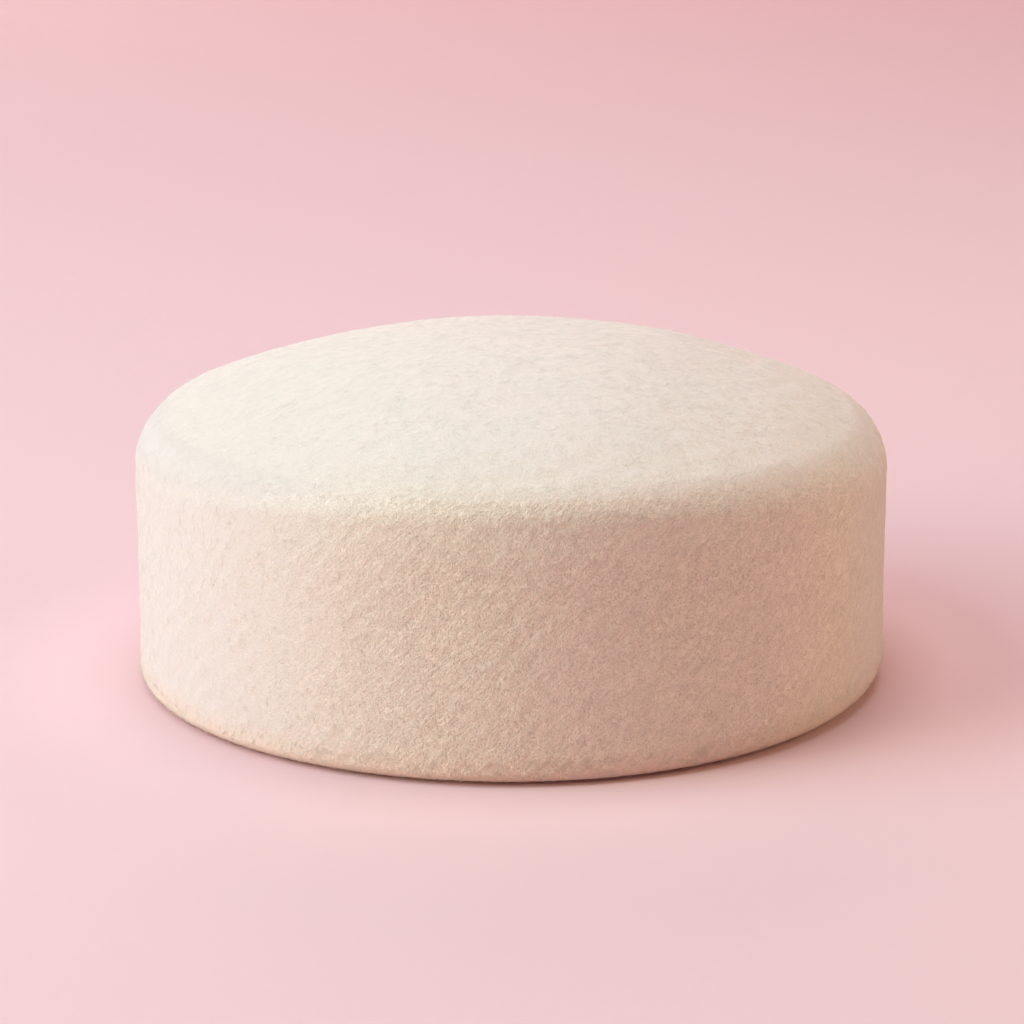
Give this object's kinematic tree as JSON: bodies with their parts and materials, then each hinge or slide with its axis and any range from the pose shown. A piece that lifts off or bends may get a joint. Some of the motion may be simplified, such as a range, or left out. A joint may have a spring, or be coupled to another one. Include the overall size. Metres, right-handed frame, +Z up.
{
  "type": "pillbox hat",
  "caption": "Round brimless felt hat with a softly domed tip, an upright side and a turned-in hem, open below for the head.",
  "frame": {"origin": "centre of the hat on the plane its hem rests on", "axes": "+Z up through the tip, -Y to the front, +X to the right as seen from the front"},
  "size_m": [0.196, 0.196, 0.0888],
  "materials": {
    "felt": "matt brushed wool felt with a short nap"
  },
  "bodies": {
    "root": {"crown": "felt"}
  },
  "joints": []
}
